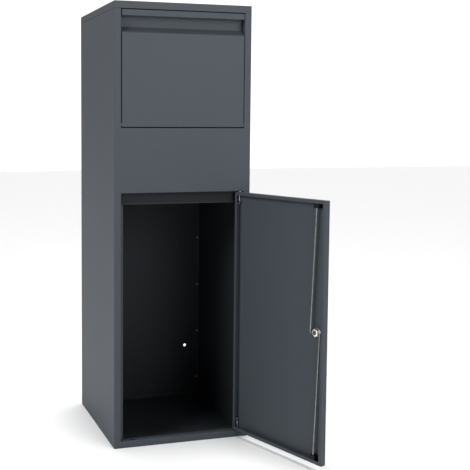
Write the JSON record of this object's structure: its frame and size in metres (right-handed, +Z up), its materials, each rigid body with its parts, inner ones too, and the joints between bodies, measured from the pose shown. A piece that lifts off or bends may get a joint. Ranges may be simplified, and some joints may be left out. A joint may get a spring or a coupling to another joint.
{
  "type": "parcel drop box",
  "caption": "Free-standing sheet-steel parcel drop box with a tilt-out delivery hatch above a lockable collection door, shown open.",
  "frame": {"origin": "centre of the cabinet's base footprint, on the surface it stands on", "axes": "+X to the viewer's right, +Y from the front into the box, +Z up"},
  "size_m": [0.4862, 0.7607, 1.24],
  "materials": {
    "powder_coat": "anthracite powder coat, fine texture, low sheen",
    "zinc_rod": "dull zinc-plated wire rod",
    "chrome_hardware": "bright chrome-plated lock hardware",
    "zinc_hardware": "bright zinc plate",
    "black_plastic": "black moulded nylon",
    "black_rubber": "black rubber",
    "spring_steel": "spring wire",
    "brass_plug": "nickelled brass lock cylinder"
  },
  "bodies": {
    "cabinet": {"front_frame": "powder_coat", "left_side_panel": "powder_coat", "right_side_panel": "powder_coat", "back_panel": "powder_coat", "back_panel_rivets": "zinc_hardware", "roof_cover": "powder_coat", "floor_panel": "powder_coat", "head_stop": "powder_coat", "hatch_head_rail": "powder_coat", "hatch_bumpers": "black_rubber", "anti_theft_baffle": "powder_coat", "baffle_bolts": "zinc_hardware", "hopper_pivot_pins": "zinc_hardware", "hinge_washers": "zinc_hardware"},
    "hatch": {"hatch_front": "powder_coat", "hopper_left_cheek": "powder_coat", "hopper_right_cheek": "powder_coat", "hopper_floor": "powder_coat", "hopper_rivets": "zinc_hardware"},
    "door": {"door_panel": "powder_coat", "upper_hinge_bracket": "powder_coat", "lower_hinge_bracket": "powder_coat", "upper_rod_guide": "black_plastic", "lower_rod_guide": "black_plastic", "lock_housing": "chrome_hardware", "lock_nut": "zinc_hardware"},
    "upper_hinge_pin_body": {"upper_hinge_pin": "zinc_hardware", "upper_hinge_spring": "spring_steel"},
    "lower_hinge_pin_body": {"lower_hinge_pin": "zinc_hardware", "lower_hinge_spring": "spring_steel"},
    "lock_rotor": {"lock_plug": "brass_plug", "lock_cam": "zinc_hardware", "cam_nut": "chrome_hardware"},
    "upper_rod_body": {"upper_rod": "zinc_rod", "upper_rod_clip": "zinc_hardware"},
    "lower_rod_body": {"lower_rod": "zinc_rod", "lower_rod_clip": "zinc_hardware"}
  },
  "joints": [
    {"name": "door_hinge", "type": "hinge", "parent": "cabinet", "child": "door", "pos_m": [0.171, -0.2097, 0.3675], "axis": [0, 0, 1], "range_deg": [-108.5, 4]},
    {"name": "hopper_tilt", "type": "hinge", "parent": "cabinet", "child": "hatch", "pos_m": [0, -0.209, 0.906], "axis": [1, 0, 0], "range_deg": [0, 45]},
    {"name": "lock_turn", "type": "hinge", "parent": "door", "child": "lock_rotor", "pos_m": [0.27598, -0.50674, 0.3675], "axis": [0.9483, 0.3173, 0], "range_deg": [0, 90]},
    {"name": "upper_rod_pivot", "type": "hinge", "parent": "lock_rotor", "child": "upper_rod_body", "pos_m": [0.25958, -0.4943, 0.3675], "axis": [0.9483, 0.3173, 0], "range_deg": [-94, 0]},
    {"name": "lower_rod_pivot", "type": "hinge", "parent": "lock_rotor", "child": "lower_rod_body", "pos_m": [0.27037, -0.52654, 0.3675], "axis": [0.9483, 0.3173, 0], "range_deg": [-94, 0]},
    {"name": "upper_pin_slide", "type": "slide", "parent": "door", "child": "upper_hinge_pin_body", "axis": [0, 0, 1], "range_m": [-0.012, 0], "stiffness_N_per_m": 500, "springref_m": 0.004, "deforming": ["upper_hinge_spring"]},
    {"name": "lower_pin_slide", "type": "slide", "parent": "door", "child": "lower_hinge_pin_body", "axis": [0, 0, 1], "range_m": [0, 0.012], "stiffness_N_per_m": 500, "springref_m": -0.004, "deforming": ["lower_hinge_spring"]}
  ],
  "couplings": [
    {"joint": "upper_rod_pivot", "follows": "lock_turn", "ratio": -1.0311},
    {"joint": "lower_rod_pivot", "follows": "lock_turn", "ratio": -1.0311}
  ]
}
